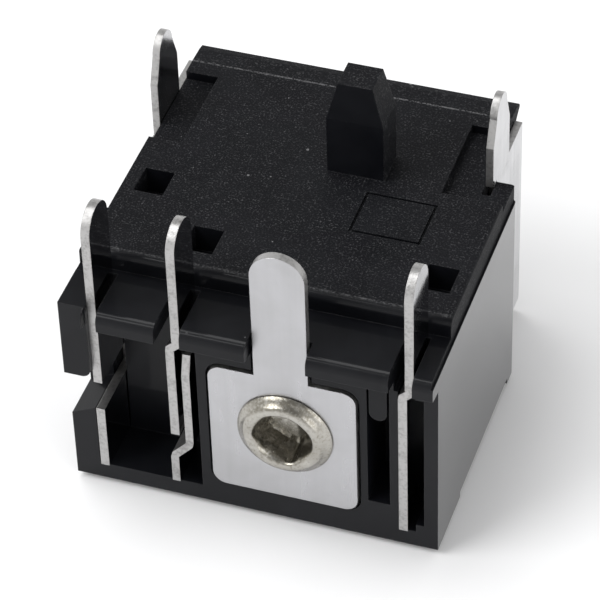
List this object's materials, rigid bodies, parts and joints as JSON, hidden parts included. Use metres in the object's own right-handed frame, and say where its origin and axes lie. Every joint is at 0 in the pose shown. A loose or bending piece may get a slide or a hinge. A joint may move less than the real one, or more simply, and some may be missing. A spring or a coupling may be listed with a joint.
{
  "type": "dc barrel jack",
  "caption": "Right-angle DC barrel socket for a circuit board: moulded black body, folded shield with solder tabs, centre pin and formed solder terminals.",
  "frame": {"origin": "on the shield's flat, under the middle of the shield's width and of the housing's length", "axes": "+Z towards the circuit board, -Y towards the plug, +X towards the side with the switch terminal"},
  "size_m": [0.0148, 0.0159, 0.0147],
  "materials": {
    "black_plastic": "spark-eroded grain on the board face, smooth elsewhere",
    "shield_sheet": "bright tin plate",
    "pin_metal": "nickel plate",
    "contact_sheet": "satin tin plate"
  },
  "bodies": {
    "root": {"housing": "black_plastic", "shield": "shield_sheet", "centre_pin": "pin_metal", "centre_terminal": "contact_sheet", "switch_terminal": "contact_sheet", "sleeve_terminal": "contact_sheet", "sleeve_spring": "contact_sheet", "right_terminal": "contact_sheet"}
  },
  "joints": []
}
